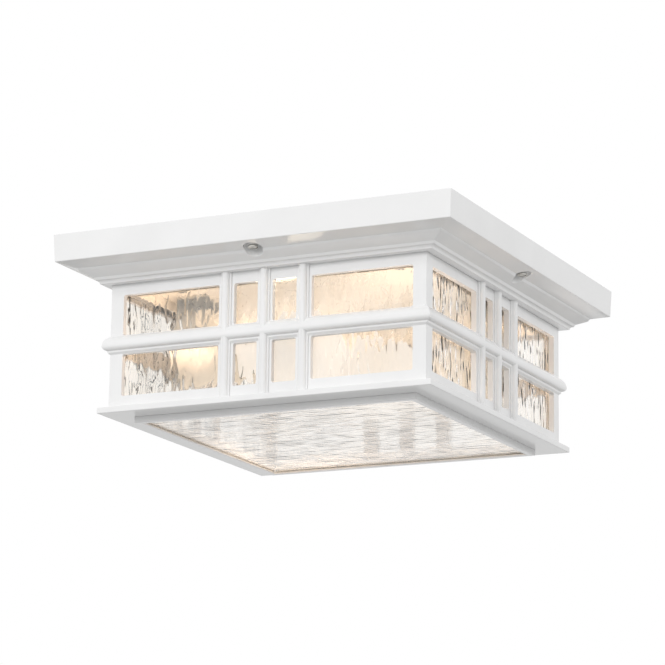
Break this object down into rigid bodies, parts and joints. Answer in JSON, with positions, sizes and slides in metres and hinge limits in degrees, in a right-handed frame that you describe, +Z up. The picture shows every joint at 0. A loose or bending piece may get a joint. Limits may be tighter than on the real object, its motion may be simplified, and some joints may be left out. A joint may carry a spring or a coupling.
{
  "type": "outdoor ceiling light",
  "caption": "Square flush ceiling light with a stepped canopy, window-barred sides of rippled glass and a glass bottom.",
  "frame": {"origin": "middle of the canopy where it meets the ceiling", "axes": "+Z up into the ceiling, -Y out of the side that the picture shows widest, +X to its right"},
  "size_m": [0.3048, 0.3048, 0.1304],
  "materials": {
    "white_casting": "white semi-gloss paint",
    "water_glass": "clear, rippled",
    "zinc_steel": "zinc plated",
    "nickel_steel": "nickel plated",
    "spring_steel": "plain",
    "green_steel": "green",
    "bright_aluminium": "bright",
    "white_sheet": "white gloss enamel",
    "brass": "plain",
    "porcelain": "glazed",
    "lamp_glass": "frosted",
    "rubber": "matt",
    "foam": "closed-cell foam",
    "white_foam": "closed-cell foam",
    "glass_fibre": "matted fibre"
  },
  "bodies": {
    "ceiling_mount": {"mounting_pan": "zinc_steel", "ceiling_gasket": "foam", "pan_nuts": "zinc_steel", "wire_bushing": "rubber", "ground_screw": "green_steel", "insulation_pad": "glass_fibre", "reflector": "white_sheet", "reflector_posts": "zinc_steel", "reflector_screws": "zinc_steel", "lamp_bracket_1": "zinc_steel", "lamp_bracket_2": "zinc_steel", "bracket_rivets": "bright_aluminium", "lampholder_1": "porcelain", "lampholder_2": "porcelain", "holder_shell_1": "brass", "holder_shell_2": "brass", "holder_contact_1": "brass", "holder_contact_2": "brass", "holder_screws": "zinc_steel"},
    "housing": {"canopy": "white_casting", "front_frame": "white_casting", "right_frame": "white_casting", "back_frame": "white_casting", "left_frame": "white_casting", "cage_screws": "zinc_steel", "front_pane": "water_glass", "right_pane": "water_glass", "back_pane": "water_glass", "left_pane": "water_glass", "pane_clips": "spring_steel", "pane_clip_screws": "zinc_steel", "bottom_flange": "white_casting", "flange_screws": "zinc_steel", "bottom_tray": "white_casting", "tray_screws": "zinc_steel", "tray_tape": "white_foam", "bottom_pane": "water_glass"},
    "washer_1": {"fixing_washer_1": "zinc_steel"},
    "screw_1": {"fixing_screw_1": "nickel_steel"},
    "washer_2": {"fixing_washer_2": "zinc_steel"},
    "screw_2": {"fixing_screw_2": "nickel_steel"},
    "washer_3": {"fixing_washer_3": "zinc_steel"},
    "screw_3": {"fixing_screw_3": "nickel_steel"},
    "washer_4": {"fixing_washer_4": "zinc_steel"},
    "screw_4": {"fixing_screw_4": "nickel_steel"},
    "lamp_contact_body_1": {"lamp_contact_1": "brass"},
    "lamp_body_1": {"lamp_cap_1": "nickel_steel", "lamp_globe_1": "lamp_glass"},
    "lamp_contact_body_2": {"lamp_contact_2": "brass"},
    "lamp_body_2": {"lamp_cap_2": "nickel_steel", "lamp_globe_2": "lamp_glass"}
  },
  "joints": [
    {"name": "housing_drop", "type": "slide", "parent": "ceiling_mount", "child": "housing", "axis": [0, 0, -1], "range_m": [0, 0.15]},
    {"name": "washer_1_travel", "type": "slide", "parent": "housing", "child": "washer_1", "axis": [0, 0, -1], "range_m": [0, 0.004]},
    {"name": "screw_1_turn", "type": "hinge", "parent": "washer_1", "child": "screw_1", "pos_m": [0, -0.141, -0.021], "axis": [0, 0, -1], "range_deg": [0, 1800]},
    {"name": "washer_2_travel", "type": "slide", "parent": "housing", "child": "washer_2", "axis": [0, 0, -1], "range_m": [0, 0.004]},
    {"name": "screw_2_turn", "type": "hinge", "parent": "washer_2", "child": "screw_2", "pos_m": [0.141, 0, -0.021], "axis": [0, 0, -1], "range_deg": [0, 1800]},
    {"name": "washer_3_travel", "type": "slide", "parent": "housing", "child": "washer_3", "axis": [0, 0, -1], "range_m": [0, 0.004]},
    {"name": "screw_3_turn", "type": "hinge", "parent": "washer_3", "child": "screw_3", "pos_m": [0, 0.141, -0.021], "axis": [0, 0, -1], "range_deg": [0, 1800]},
    {"name": "washer_4_travel", "type": "slide", "parent": "housing", "child": "washer_4", "axis": [0, 0, -1], "range_m": [0, 0.004]},
    {"name": "screw_4_turn", "type": "hinge", "parent": "washer_4", "child": "screw_4", "pos_m": [-0.141, 0, -0.021], "axis": [0, 0, -1], "range_deg": [0, 1800]},
    {"name": "lamp_1_travel", "type": "slide", "parent": "ceiling_mount", "child": "lamp_contact_body_1", "axis": [1, 0, 0], "range_m": [0, 0.0181]},
    {"name": "lamp_1_turn", "type": "hinge", "parent": "lamp_contact_body_1", "child": "lamp_body_1", "pos_m": [-0.098, -0.048, -0.075], "axis": [1, 0, 0], "range_deg": [0, 1800]},
    {"name": "lamp_2_travel", "type": "slide", "parent": "ceiling_mount", "child": "lamp_contact_body_2", "axis": [-1, 0, 0], "range_m": [0, 0.0181]},
    {"name": "lamp_2_turn", "type": "hinge", "parent": "lamp_contact_body_2", "child": "lamp_body_2", "pos_m": [0.098, 0.048, -0.075], "axis": [-1, 0, 0], "range_deg": [0, 1800]}
  ],
  "couplings": [
    {"joint": "screw_1_turn", "follows": "washer_1_travel", "rad_per_m": 7854},
    {"joint": "screw_2_turn", "follows": "washer_2_travel", "rad_per_m": 7854},
    {"joint": "screw_3_turn", "follows": "washer_3_travel", "rad_per_m": 7854},
    {"joint": "screw_4_turn", "follows": "washer_4_travel", "rad_per_m": 7854},
    {"joint": "lamp_1_turn", "follows": "lamp_1_travel", "rad_per_m": 1731.4},
    {"joint": "lamp_2_turn", "follows": "lamp_2_travel", "rad_per_m": 1731.4}
  ]
}
